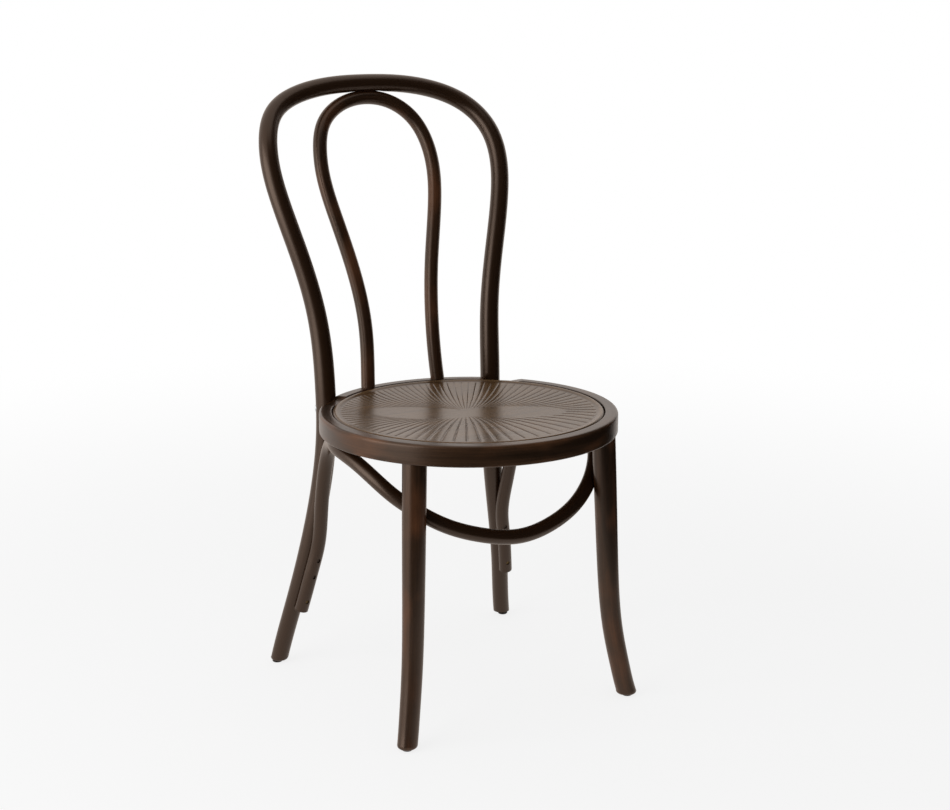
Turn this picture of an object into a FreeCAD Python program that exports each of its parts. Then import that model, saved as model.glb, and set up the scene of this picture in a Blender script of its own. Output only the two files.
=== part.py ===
"""Bentwood bistro chair: a hoop back with an inner loop, a round seat ring with an embossed panel,
two turned front legs and a one-piece saddle brace, in millimetres.

The pieces are worked out round the seat's axis, +Z up, with the sitter facing -Y, the back at +Y
and X = 0 as the mirror plane. At the end each one is moved along Y, so that the origin is on the
floor under the middle of the chair's outline.
"""
import FreeCAD, Part
import math
import os
import re
from FreeCAD import Placement, Rotation, Vector

SIZES = {
    # seat ring: a bent hoop with a rebate for the panel
    "seat_height": 440.0,
    "seat_radius": 221.0,
    "ring_height": 30.0,
    "ring_width": 36.0,
    "rim_width": 19.0,
    "rim_round": 4.5,
    "ring_arris": 2.0,
    # embossed panel
    "panel_gap": 1.0,
    "panel_thickness": 5.0,
    "panel_crown": 1.5,
    "panel_edge_fall": 3.2,
    "bead_width": 6.0,
    "bead_fall": 2.0,
    "dish_depth": 7.0,
    # back bow, which is also both rear legs
    "bow_foot_radius": 13.6,
    "bow_joint_radius": 15.6,
    "bow_waist_radius": 14.4,
    "bow_top_radius": 13.6,
    "bow_joint_angle": 39.2,
    "bow_housing": 2.2,
    "bow_notch_clearance": 0.3,
    "ring_flat": 2.0,
    "rear_foot_half_width": 212.5,
    "rear_foot_setback": 244.5,
    "rear_splay_low": 0.614,
    "rear_rake_low": 0.553,
    "rear_splay_mid": 0.21,
    "rear_rake_mid": 0.17,
    "rear_splay_high": 0.01,
    "back_height": 461.5,
    "back_lean": 139.0,
    "back_half_width": 199.0,
    # relief in the rim, from under each rear leg towards the front
    "relief_front": 35.0,
    "relief_ramp": 19.0,
    "relief_back": 4.0,
    "relief_back_ramp": 4.0,
    "relief_depth": 5.0,
    # inner loop
    "loop_radius": 10.9,
    "loop_foot_angle": 17.0,
    "loop_half_width": 97.6,
    "loop_flat": 1.0,
    # front legs
    "front_top_radius": 17.3,
    "front_foot_radius": 13.9,
    "front_leg_offset": 3.2,
    "front_leg_angle": 52.4,
    "front_foot_half_width": 191.0,
    "front_foot_reach": 152.0,
    "front_splay_low": 0.45,
    "front_splay_mid": 0.2,
    "tenon_radius": 11.0,
    "tenon_height": 21.0,
    "foot_chamfer": 4.0,
    # saddle brace
    "brace_radius": 10.8,
    "brace_housing": 1.8,
    "brace_crown_housing": 1.0,
    "glue_line": 0.15,
    "brace_end_height": 94.0,
    "brace_lap": 111.0,
    "brace_turn_in": 7.0,
    "brace_top_offset": 1.0,
    "brace_top_angle": 80.0,
    "brace_front_inset": 75.0,
    "brace_front_drop": 127.0,
    "brace_leg_drop": 79.0,
    "brace_leg_turn": 38.5,
    # glides
    "glide_radius": 8.0,
    "glide_height": 3.0,
    "glide_chamfer": 1.0,
    "nail_radius": 1.3,
    "nail_head_radius": 3.2,
    "nail_head_height": 0.8,
    "nail_head_sink": 0.4,
    "nail_length": 19.0,
    # leg bolts
    "bolt_radius": 4.0,
    "bolt_head_radius": 9.0,
    "bolt_head_height": 3.6,
    "bolt_seat_depth": 4.0,
    "bolt_seat_clearance": 0.4,
    "bolt_rise": 11.1,
    "washer_radius": 9.0,
    "washer_thickness": 1.6,
    "washer_seat_depth": 0.5,
    "nut_corner_radius": 7.5,
    "nut_height": 6.5,
    "bolt_tail": 2.5,
    # wood screws
    "screw_radius": 2.0,
    "screw_head_radius": 3.3,
    "screw_head_height": 2.4,
    "screw_recess": 2.5,
    "well_reach": 12.0,
    "brace_screw_length": 26.0,
    "brace_screw_low": 20.0,
    "brace_screw_middle": 61.0,
    "brace_screw_high": 88.0,
    "seat_screw_length": 26.0,
    "loop_top_screw_length": 26.0,
    "loop_top_screw_spacing": 32.0,
    "loop_foot_screw_length": 58.0,
    "lock_screw_length": 27.0,
}
BOW_SECTIONS = 44
LOOP_SECTIONS = 30
BRACE_SECTIONS = 48
LEG_SECTIONS = 12
HALVINGS = 60
NEAR = 0.01

# Shape ratios: how blunt the points are, how far the bolt head is domed, where the bead's crest and the
# middles of its two flanks lie, and how much of its swelling each leg has where the brace lies on it
SCREW_POINT = 0.2
NAIL_POINT = 0.15
NAIL_TAPER = 2.5
BOLT_DOME = 0.7
BEAD_CREST = 0.35
BEAD_INNER_FLANK = (0.13, 0.58)
BEAD_OUTER_FLANK = (0.07, 0.3)
REAR_SWELLING = 0.35
FRONT_TAPER = 0.13

# How far the routes run past the wood that is kept
LOOP_TAIL = (1.5, -3.0, -20.0)
FRONT_TAIL = 8.0

doc = FreeCAD.newDocument("bistro_chair")
sheet = doc.addObject("Spreadsheet::Sheet", "sizes")
for row, (alias, value) in enumerate(SIZES.items(), start=1):
    sheet.set("A%d" % row, alias)
    sheet.set("B%d" % row, str(value))
    sheet.setAlias("B%d" % row, alias)
doc.recompute()
UP = Vector(0, 0, 1)


def size(alias):
    return float(getattr(sheet, alias))


def linked(formula):
    """The formula with each alias pointing at the sheet."""
    def pointed(match):
        word = match.group()
        return "sizes." + word if word in SIZES else word

    return re.sub(r"[a-z_]{3,}", pointed, formula)


def bind(thing, **formulas):
    for prop, formula in formulas.items():
        thing.setExpression(prop.replace("__", "."), linked(formula))
    return thing


def based(base):
    return {"Placement__Base__" + axis: formula for axis, formula in base.items()}


def cylinder(name, radius, height, **base):
    """An upright cylinder whose base may be bound too, as x, y and z."""
    thing = doc.addObject("Part::Cylinder", name)
    return bind(thing, Radius=radius, Height=height, **based(base))


def cone(name, low_radius, high_radius, height, **base):
    thing = doc.addObject("Part::Cone", name)
    return bind(thing, Radius1=low_radius, Radius2=high_radius, Height=height, **based(base))


def box(name, length, width, height, **base):
    thing = doc.addObject("Part::Box", name)
    return bind(thing, Length=length, Width=width, Height=height, **based(base))


def cut(name, base, *tools):
    """Base without the tools, each tool a separate object."""
    for count, tool in enumerate(tools, start=1):
        thing = doc.addObject("Part::Cut", "%s_%d" % (name, count))
        thing.Base = base
        thing.Tool = tool
        base = thing
    return base


def fuse(name, *things):
    thing = doc.addObject("Part::MultiFuse", name)
    thing.Shapes = list(things)
    return thing


def group(name, *things):
    """Separate solids kept side by side in one object."""
    thing = doc.addObject("Part::Compound", name)
    thing.Links = list(things)
    return thing


def mirrored(name, thing):
    """The copy across the chair's mirror plane."""
    copy = doc.addObject("Part::Mirroring", name)
    copy.Source = thing
    copy.Normal = Vector(1, 0, 0)
    return copy


def placed(thing, base, direction):
    """The thing moved to base, with its own +Z turned to the direction."""
    thing.Placement = Placement(base, Rotation(UP, direction))
    return thing


def flip(point):
    return Vector(-point.x, point.y, point.z)


def smooth_curve(points):
    curve = Part.BSplineCurve()
    curve.interpolate(points)
    return curve


def at_height(curve, height, last):
    """The parameter where the curve first climbs or falls to a height before its parameter last."""
    low, high = curve.FirstParameter, last
    rising = curve.value(high).z > curve.value(low).z
    for _ in range(HALVINGS):
        middle = (low + high) / 2
        if (curve.value(middle).z < height) == rising:
            low = middle
        else:
            high = middle
    return (low + high) / 2


def direction_at(curve, parameter):
    tangent = curve.tangent(parameter)
    return tangent[0] if isinstance(tangent, tuple) else tangent


def bent_rod(name, points, count, stations):
    """A round rod lofted along a smooth curve.

    stations pairs a share of the rod's length with the formula of its radius there.
    """
    curve = smooth_curve(points)
    sections = []
    across = Vector(0, 1, 0)
    for number in range(count + 1):
        share = number / count
        parameter = curve.parameterAtDistance(curve.length() * share)
        along = direction_at(curve, parameter).normalize()
        across = (across - along * across.dot(along)).normalize()
        ring = doc.addObject("Part::Circle", "%s_section_%d" % (name, number))
        bind(ring, Radius=radius_formula(share, stations))
        ring.Placement = Placement(curve.value(parameter),
                                   Rotation(across, along.cross(across), along, "ZXY"))
        sections.append(ring)
    rod = doc.addObject("Part::Loft", name)
    rod.Sections = sections
    rod.Solid = True
    rod.Ruled = False
    return rod, curve


def radius_formula(share, stations):
    for (start, first), (end, second) in zip(stations, stations[1:]):
        if share <= end:
            part = (share - start) / (end - start)
            return "%s + (%s - %s) * %.6f" % (first, second, first, part * part * (3 - 2 * part))
    return stations[-1][1]


def flat_face_edges(thing, height):
    """The edges round the level faces at a height, as numbers for a chamfer."""
    doc.recompute()
    shape = thing.Shape
    numbers = []
    for face in shape.Faces:
        if face.Surface.TypeId == "Part::GeomPlane" and abs(face.CenterOfMass.z - height) < NEAR:
            for edge in face.Edges:
                numbers += [n for n, other in enumerate(shape.Edges, start=1) if other.isSame(edge)]
    return numbers


def chamfered_feet(name, base, height):
    feet = doc.addObject("Part::Chamfer", name)
    feet.Base = base
    chamfer = size("foot_chamfer")
    feet.Edges = [(number, chamfer, chamfer) for number in flat_face_edges(base, height)]
    return feet


# Places that several pieces share

def around(radius, angle, height):
    """A point by its distance from the seat's axis and its angle from the back, at +X."""
    turn = math.radians(angle)
    return Vector(radius * math.sin(turn), radius * math.cos(turn), height)


ring_bottom = size("seat_height") - size("ring_height")
flat_radius = size("seat_radius") - size("ring_flat")
joint_radius = flat_radius + size("bow_joint_radius") - size("bow_housing")
joint_turn = size("bow_joint_angle")
joint = around(joint_radius, joint_turn, 0)
joint_out = around(1, joint_turn, 0)
bolt_height = ring_bottom + size("bolt_rise")
loop_foot_radius = size("seat_radius") - size("rim_width") + size("loop_radius")
ring_middle = size("seat_radius") - size("ring_width") / 2
front_top = around(ring_middle - size("front_leg_offset"), 180 - size("front_leg_angle"), ring_bottom)
brace_top_radius = ring_middle + size("brace_top_offset")
outline_middle = (joint.y + size("back_lean") + size("bow_top_radius") - size("seat_radius")) / 2


def splayed(top, foot, out, along, height):
    """A point of a leg's axis, given shares of the way from its top to its foot: out in X, along in Y."""
    return Vector(top.x + (foot.x - top.x) * out, top.y + (foot.y - top.y) * along, height)


# Back bow with both rear legs

def bow_points():
    seat = size("seat_height")
    top = size("back_height")
    lean = size("back_lean")
    wide = size("back_half_width") - joint.x
    foot = Vector(size("rear_foot_half_width"), size("rear_foot_setback"), 0)

    def back(height, out, rear):
        return Vector(joint.x + wide * out, joint.y + lean * rear, seat + top * height)

    def corner(height, across, rear):
        return Vector(size("back_half_width") * across, joint.y + lean * rear, seat + top * height)

    rising = [
        splayed(joint, foot, 1.135, 1.135, -0.06 * seat),
        splayed(joint, foot, 1.0, 1.0, 0),
        splayed(joint, foot, size("rear_splay_low"), size("rear_rake_low"), 0.273 * seat),
        splayed(joint, foot, size("rear_splay_mid"), size("rear_rake_mid"), 0.59 * seat),
        splayed(joint, foot, size("rear_splay_high"), size("rear_splay_high"), 0.86 * seat),
        back(0.02, 0.0, 0.007),
        back(0.26, 0.11, 0.085),
        back(0.44, 0.43, 0.182),
        back(0.61, 0.82, 0.312),
        back(0.745, 1.0, 0.457),
        back(0.835, 0.9, 0.597),
        corner(0.92, 0.843, 0.806),
        corner(0.98, 0.52, 0.955),
    ]
    return rising + [Vector(0, joint.y + lean, seat + top)] + [flip(p) for p in reversed(rising)]


bow_radii = [(0.0, "bow_foot_radius"), (0.17, "bow_joint_radius"), (0.22, "bow_joint_radius"),
             (0.3, "bow_waist_radius"), (0.5, "bow_top_radius"), (0.7, "bow_waist_radius"),
             (0.78, "bow_joint_radius"), (0.83, "bow_joint_radius"), (1.0, "bow_foot_radius")]
bow_rod, bow_curve = bent_rod("bow_rod", bow_points(), BOW_SECTIONS, bow_radii)
bow_middle = (bow_curve.FirstParameter + bow_curve.LastParameter) / 2


def bow_axis(height):
    """The right rear leg's axis at a height."""
    return bow_curve.value(at_height(bow_curve, height, bow_middle))


# Inner loop

top_flat_height = size("seat_height") + size("back_height") - size("bow_top_radius") + size("loop_flat")
loop_top_height = top_flat_height + size("loop_flat") - size("loop_radius")


def loop_points():
    seat = size("seat_height")
    tall = loop_top_height - seat
    foot = around(loop_foot_radius, size("loop_foot_angle"), seat)
    lean = joint.y + size("back_lean") - foot.y
    wide = size("loop_half_width")

    def side(height, across, rear):
        return Vector(wide * across, foot.y + lean * rear, seat + tall * height)

    rising = [
        foot + Vector(*LOOP_TAIL),
        foot,
        side(0.22, 0.61, 0.105),
        side(0.415, 0.715, 0.265),
        side(0.6, 0.9, 0.453),
        side(0.735, 0.998, 0.62),
        side(0.83, 0.972, 0.754),
        side(0.92, 0.805, 0.9),
        side(0.978, 0.47, 0.975),
    ]
    return rising + [Vector(0, foot.y + lean, seat + tall)] + [flip(p) for p in reversed(rising)]


loop_rod, loop_curve = bent_rod("loop_rod", loop_points(), LOOP_SECTIONS,
                                [(0.0, "loop_radius"), (1.0, "loop_radius")])


# Front legs

def front_points():
    foot = Vector(size("front_foot_half_width"), -size("front_foot_reach"), 0)

    def out(share, height):
        return splayed(front_top, foot, share, share, height * ring_bottom)

    return [
        front_top + UP * FRONT_TAIL,
        out(0.04, 0.93),
        out(0.14, 0.7),
        out(size("front_splay_mid") + 0.04, 0.48),
        out(size("front_splay_low"), 0.25),
        out(0.72, 0.11),
        out(1.0, 0),
        out(1.2, -0.05),
    ]


leg_rod, leg_curve = bent_rod("leg_rod", front_points(), LEG_SECTIONS,
                              [(0.0, "front_top_radius"), (1.0, "front_foot_radius")])
leg_end = leg_curve.LastParameter


def front_axis(height):
    """The right front leg's axis at a height."""
    return leg_curve.value(at_height(leg_curve, height, leg_end))


# Saddle brace

def brace_on_rear_leg(height):
    """The brace's axis where it lies along the front of the right rear leg."""
    turn = math.radians(size("brace_turn_in"))
    swelling = size("bow_joint_radius") - size("bow_foot_radius")
    leg_radius = size("bow_foot_radius") + REAR_SWELLING * swelling
    reach = leg_radius + size("brace_radius") - size("brace_housing")
    return bow_axis(height) - Vector(math.sin(turn), math.cos(turn), 0) * reach


def brace_on_front_leg():
    """The brace's axis where it passes inside the right front leg."""
    height = ring_bottom - size("brace_leg_drop")
    axis = front_axis(height)
    turn = math.radians(size("brace_leg_turn"))
    taper = size("front_top_radius") - size("front_foot_radius")
    leg_radius = size("front_top_radius") - FRONT_TAPER * taper
    reach = leg_radius + size("brace_radius") - size("brace_housing")
    return Vector(axis.x - math.sin(turn) * reach, axis.y + math.cos(turn) * reach, height)


def brace_points():
    end = size("brace_end_height")
    lap = size("brace_lap")
    crown = around(brace_top_radius, size("brace_top_angle"),
                   ring_bottom - size("brace_radius") + size("brace_crown_housing"))
    passing = brace_on_front_leg()
    high = brace_on_rear_leg(end + lap)
    front = Vector(0, size("brace_front_inset") - size("seat_radius"),
                   ring_bottom - size("brace_front_drop"))

    def between(start, stop, across, along, up):
        span = stop - start
        return Vector(start.x + span.x * across, start.y + span.y * along, start.z + span.z * up)

    right = [
        brace_on_rear_leg(end),
        brace_on_rear_leg(end + 0.3 * lap),
        brace_on_rear_leg(end + 0.65 * lap),
        high,
        between(high, crown, 0.0, 0.1, 0.3),
        between(high, crown, 0.06, 0.22, 0.6),
        between(high, crown, 0.2, 0.43, 0.87),
        between(high, crown, 0.62, 0.74, 0.985),
        crown,
        between(crown, passing, 0.06, 0.42, 0.16),
        between(crown, passing, 0.3, 0.7, 0.46),
        between(crown, passing, 0.6, 0.86, 0.74),
        passing,
        between(passing, front, 0.24, 0.47, 0.44),
        between(passing, front, 0.59, 0.86, 0.81),
    ]
    return right + [front] + [flip(p) for p in reversed(right)]


brace_rod, brace_curve = bent_rod("brace_rod", brace_points(), BRACE_SECTIONS,
                                  [(0.0, "brace_radius"), (1.0, "brace_radius")])


def nearest_on(curve, point):
    return curve.value(curve.parameter(point))


# Fasteners, each made once at +X along its own +Z and mirrored

def wood_screw(name, length):
    """A countersunk screw: its head's face at the origin and its point up +Z."""
    head = cone(name + "_head", "screw_head_radius", "screw_radius", "screw_head_height")
    shank = cylinder(name + "_shank", "screw_radius", length + " - 2 * screw_radius")
    tip = cone(name + "_tip", "screw_radius", "screw_radius * %s" % SCREW_POINT, "2 * screw_radius",
               z=length + " - 2 * screw_radius")
    return fuse(name, head, shank, tip)


def screw_and_hole(name, length, place, direction):
    """A sunk screw and the tool that makes its hole, both entering at place along direction."""
    unit = Vector(direction).normalize()
    screw = placed(wood_screw(name + "_body", length), place + unit * size("screw_recess"), unit)
    well = cylinder(name + "_well", "screw_head_radius", "screw_recess + well_reach")
    placed(well, place - unit * size("well_reach"), unit)
    return screw, well


def screw_set(name, length, places):
    """The screws of one kind with their mirror copies, and the wells above their heads."""
    screws = []
    wells = []
    for number, (place, direction) in enumerate(places, start=1):
        screw, well = screw_and_hole("%s_%d" % (name, number), length, place, direction)
        screws += [screw, mirrored("%s_%d_mirror" % (name, number), screw)]
        wells += [well, mirrored("%s_%d_well_mirror" % (name, number), well)]
    return group(name + "_set", *screws), group(name + "_wells", *wells)


def rear_screw_place(rise):
    height = size("brace_end_height") + rise
    axis = nearest_on(brace_curve, brace_on_rear_leg(height))
    inward = bow_axis(height) - axis
    inward.z = 0
    inward.normalize()
    return axis - inward * size("brace_radius"), inward


def front_screw_place():
    axis = brace_on_front_leg()
    outward = front_axis(axis.z) - axis
    outward.z = 0
    outward.normalize()
    return axis - outward * size("brace_radius"), outward


def seat_screw_place():
    crown = around(brace_top_radius, size("brace_top_angle"),
                   ring_bottom - 2 * size("brace_radius") + size("brace_crown_housing"))
    return crown, UP


def loop_top_screw_place():
    axis = loop_curve.value((loop_curve.FirstParameter + loop_curve.LastParameter) / 2)
    return axis + Vector(size("loop_top_screw_spacing") / 2, 0, -size("loop_radius")), UP


brace_rear_screws, rear_wells = screw_set(
    "brace_rear_screws", "brace_screw_length",
    [rear_screw_place(size(rise)) for rise in ("brace_screw_low", "brace_screw_middle", "brace_screw_high")])
brace_front_screws, front_wells = screw_set("brace_front_screws", "brace_screw_length",
                                            [front_screw_place()])
brace_seat_screws, seat_wells = screw_set("brace_seat_screws", "seat_screw_length", [seat_screw_place()])
loop_top_screws, loop_top_wells = screw_set("loop_top_screws", "loop_top_screw_length",
                                            [loop_top_screw_place()])
loop_foot_screws, loop_foot_wells = screw_set(
    "loop_foot_screws", "loop_foot_screw_length",
    [(around(loop_foot_radius, size("loop_foot_angle"), ring_bottom), UP)])
front_leg_lock_screws, lock_wells = screw_set(
    "front_leg_lock_screws", "lock_screw_length",
    [(around(size("seat_radius") - size("ring_width"), 180 - size("front_leg_angle"),
             ring_bottom + size("tenon_height") / 2),
      around(1, 180 - size("front_leg_angle"), 0))])


def leg_bolt():
    """A domed bolt through the right rear leg and the ring, with its washer and nut inside."""
    outside = joint_radius + size("bow_joint_radius") - size("bolt_seat_depth")
    inside = size("seat_radius") - size("ring_width") + size("washer_seat_depth")
    head = cylinder("bolt_head", "bolt_head_radius", "bolt_head_height")
    doc.recompute()
    outer_edge = [n for n, e in enumerate(head.Shape.Edges, start=1)
                  if e.Closed and e.CenterOfMass.z > size("bolt_head_height") / 2][0]
    dome = doc.addObject("Part::Fillet", "bolt_dome")
    dome.Base = head
    round_size = size("bolt_head_height") * BOLT_DOME
    dome.Edges = [(outer_edge, round_size, round_size)]
    reach = outside - inside + size("washer_thickness") + size("nut_height") + size("bolt_tail")
    shank = doc.addObject("Part::Cylinder", "bolt_shank")
    bind(shank, Radius="bolt_radius")
    shank.Height = reach
    placed(dome, around(outside, joint_turn, bolt_height), joint_out)
    placed(shank, around(outside, joint_turn, bolt_height), -joint_out)
    bolt = fuse("bolt", dome, shank)
    washer = placed(cylinder("washer_disc", "washer_radius", "washer_thickness"),
                    around(inside, joint_turn, bolt_height), -joint_out)
    nut = doc.addObject("Part::Prism", "nut_prism")
    bind(nut, Circumradius="nut_corner_radius", Height="nut_height")
    placed(nut, around(inside - size("washer_thickness"), joint_turn, bolt_height), -joint_out)
    head_seat = placed(cylinder("head_seat", "bolt_head_radius + bolt_seat_clearance", "well_reach"),
                       around(outside, joint_turn, bolt_height), joint_out)
    washer_seat = placed(cylinder("washer_seat", "washer_radius + bolt_seat_clearance", "well_reach"),
                         around(inside, joint_turn, bolt_height), -joint_out)
    return bolt, cut("washer", washer, bolt), cut("nut", nut, bolt), head_seat, washer_seat


def both(name, thing):
    return group(name, thing, mirrored(name + "_mirror", thing))


one_bolt, one_washer, one_nut, head_seat, washer_seat = leg_bolt()
back_bow_bolts = both("bolt_pair", one_bolt)
back_bow_washers = both("washer_pair", one_washer)
back_bow_nuts = both("nut_pair", one_nut)
head_seats = both("head_seats", head_seat)
washer_seats = both("washer_seats", washer_seat)


# Glides

def glide_nail(name, x, y):
    head = cylinder(name + "_head", "nail_head_radius", "nail_head_height", z="nail_head_sink")
    shank = cylinder(name + "_shank", "nail_radius", "nail_length", z="nail_head_sink")
    tip = cone(name + "_tip", "nail_radius", "nail_radius * %s" % NAIL_POINT,
               "nail_radius * %s" % NAIL_TAPER, z="nail_length + nail_head_sink")
    nail = fuse(name, head, shank, tip)
    nail.Placement.Base = Vector(x, y, 0)
    return nail


def glide(name, x, y, nail):
    disc = cylinder(name + "_disc", "glide_radius", "glide_height")
    disc.Placement.Base = Vector(x, y, 0)
    doc.recompute()
    edge = [n for n, e in enumerate(disc.Shape.Edges, start=1)
            if e.Closed and abs(e.CenterOfMass.z) < NEAR][0]
    rim = doc.addObject("Part::Chamfer", name + "_rim")
    rim.Base = disc
    rim.Edges = [(edge, size("glide_chamfer"), size("glide_chamfer"))]
    well = cylinder(name + "_well", "nail_head_radius", "nail_head_sink")
    well.Placement.Base = Vector(x, y, 0)
    return cut(name, rim, well, nail)


rear_foot = bow_axis(size("glide_height"))
front_foot = front_axis(size("glide_height"))
FEET = {
    "front_left": Vector(-front_foot.x, front_foot.y, 0),
    "front_right": Vector(front_foot.x, front_foot.y, 0),
    "rear_left": Vector(-rear_foot.x, rear_foot.y, 0),
    "rear_right": Vector(rear_foot.x, rear_foot.y, 0),
}
nails = {}
glides = {}
for place, spot in FEET.items():
    nails[place] = glide_nail("nail_" + place, spot.x, spot.y)
    glides[place] = glide("glide_" + place, spot.x, spot.y, nails[place])
glide_nails = group("nail_set", *nails.values())


# Cutting tools shared by the wood pieces

floor_cut = box("floor_cut", "4 * seat_radius", "4 * seat_radius", "seat_height", x="-2 * seat_radius",
                y="-2 * seat_radius", z="glide_height - seat_height")
above_seat = box("above_seat", "4 * seat_radius", "4 * seat_radius", "seat_height",
                 x="-2 * seat_radius", y="-2 * seat_radius", z="seat_height - ring_height")
under_seat_top = box("under_seat_top", "4 * seat_radius", "4 * seat_radius", "seat_height",
                     x="-2 * seat_radius", y="-2 * seat_radius", z="0")
loop_flat_cut = box("loop_flat_cut", "seat_radius", "seat_radius", "ring_height")
loop_flat_cut.Placement.Base = Vector(-size("seat_radius") / 2, joint.y, top_flat_height)
bow_flat_cut = box("bow_flat_cut", "loop_half_width", "seat_radius", "ring_height")
bow_flat_cut.Placement.Base = Vector(-size("loop_half_width") / 2, joint.y,
                                     top_flat_height - size("ring_height"))


def joint_box(name, start, stop, bottom, top, half_width):
    """A block across the right rear joint, from one distance from the seat's axis to another."""
    block = doc.addObject("Part::Box", name)
    block.Length = 2 * half_width
    block.Width = stop - start
    block.Height = top - bottom
    turn = Rotation(UP, -joint_turn)
    corner = turn.multVec(Vector(-half_width, start, bottom))
    block.Placement = Placement(corner, turn)
    return block


def leg_notch_block():
    """What the ring takes out of the leg, so that the leg is flat against the ring's own flat."""
    clear = size("bow_notch_clearance")
    return joint_box("leg_notch_block", flat_radius - size("ring_width"), flat_radius, ring_bottom - clear,
                     size("seat_height") + clear, 2 * size("bow_joint_radius"))


def ring_notch_block():
    """The flat on the outside of the ring, where the leg lies."""
    margin = size("ring_height") / 4
    return joint_box("ring_notch_block", flat_radius, flat_radius + size("ring_width"),
                     ring_bottom - margin, size("seat_height") + margin,
                     size("relief_front") + size("relief_ramp"))


leg_notch = both("leg_notch", leg_notch_block())
ring_notch = both("ring_notch", ring_notch_block())


def rim_relief():
    """The scoop that lowers the rim from under the right rear leg forward, with ramped ends."""
    front = size("relief_front")
    back = size("relief_back")
    low = size("seat_height") - size("relief_depth")
    high = low + 2 * size("relief_depth")
    start = size("seat_radius") - size("ring_width")
    outline = [(-back, low), (front, low), (front + 2 * size("relief_ramp"), high),
               (-back - 2 * size("relief_back_ramp"), high)]
    turn = Rotation(UP, -joint_turn)
    corners = [turn.multVec(Vector(across, start, height)) for across, height in outline]
    profile = Part.makePolygon(corners + corners[:1])
    scoop = doc.addObject("Part::Feature", "rim_relief_block")
    scoop.Shape = Part.Face(profile).extrude(joint_out * 2 * size("ring_width"))
    return both("rim_relief", scoop)


# Wood pieces

legs_on_floor = cut("bow_trim", bow_rod, floor_cut)
bow_feet = chamfered_feet("bow_feet", legs_on_floor, size("glide_height"))
back_bow = cut("back_bow", bow_feet, leg_notch, bow_flat_cut, head_seats, back_bow_bolts,
               brace_rear_screws, loop_top_screws, glide_nails)

inner_back_loop = cut("inner_back_loop", loop_rod, under_seat_top, loop_flat_cut, loop_top_wells,
                      loop_top_screws, loop_foot_screws)

leg_trim = cut("leg_trim", leg_rod, above_seat, floor_cut)
leg_foot = chamfered_feet("leg_foot", leg_trim, size("glide_height"))
tenon = cylinder("tenon", "tenon_radius", "tenon_height")
tenon.Placement.Base = front_top
leg_with_tenon = fuse("leg_with_tenon", leg_foot, tenon)
left_leg_blank = mirrored("left_leg_blank", leg_with_tenon)
front_leg_right = cut("front_leg_right", leg_with_tenon, front_leg_lock_screws, brace_front_screws,
                      glide_nails)
front_leg_left = cut("front_leg_left", left_leg_blank, front_leg_lock_screws, brace_front_screws,
                     glide_nails)


def brace_housings():
    """What the legs take out of the brace: each leg's rod, nearer to the brace by the glue line."""
    glue = size("glue_line")
    turn = math.radians(size("brace_leg_turn"))
    rear = group("rear_housing", bow_rod)
    rear.Placement.Base = Vector(0, -glue, 0)
    front = group("front_housing", leg_rod)
    front.Placement.Base = Vector(-math.sin(turn) * glue, math.cos(turn) * glue, 0)
    return rear, both("front_housings", front)


rear_housing, front_housings = brace_housings()
leg_brace = cut("leg_brace", brace_rod, rear_housing, above_seat, front_housings, rear_wells,
                brace_rear_screws, front_wells, brace_front_screws, seat_wells, brace_seat_screws)


def ring_blank():
    """The hoop with its rebate and its rounded edges, before any joint is cut."""
    outer = cylinder("ring_outer", "seat_radius", "ring_height", z="seat_height - ring_height")
    inner = cylinder("ring_inner", "seat_radius - ring_width", "2 * ring_height",
                     z="seat_height - 1.5 * ring_height")
    rebate = cylinder("ring_rebate", "seat_radius - rim_width", "ring_height",
                      z="seat_height - panel_thickness - panel_crown")
    hoop = cut("ring_hoop", outer, inner, rebate)
    doc.recompute()
    rounds = []
    for number, edge in enumerate(hoop.Shape.Edges, start=1):
        if not edge.Closed:
            continue
        radius = edge.Curve.Radius
        height = edge.CenterOfMass.z
        if abs(radius - size("seat_radius")) < NEAR:
            at_top = height > size("seat_height") - size("ring_height") / 2
            amount = size("rim_round") if at_top else size("ring_arris")
            rounds.append((number, amount, amount))
        elif abs(height - ring_bottom) < NEAR:
            rounds.append((number, size("ring_arris"), size("ring_arris")))
    rounded = doc.addObject("Part::Fillet", "ring_rounded")
    rounded.Base = hoop
    rounded.Edges = rounds
    return rounded


front_tenons = group("front_tenons", leg_with_tenon, left_leg_blank)
seat_ring = cut("seat_ring", ring_blank(), ring_notch, rim_relief(), washer_seats, back_bow_bolts,
                front_tenons, lock_wells, front_leg_lock_screws, loop_foot_wells, loop_foot_screws,
                brace_seat_screws)


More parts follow.
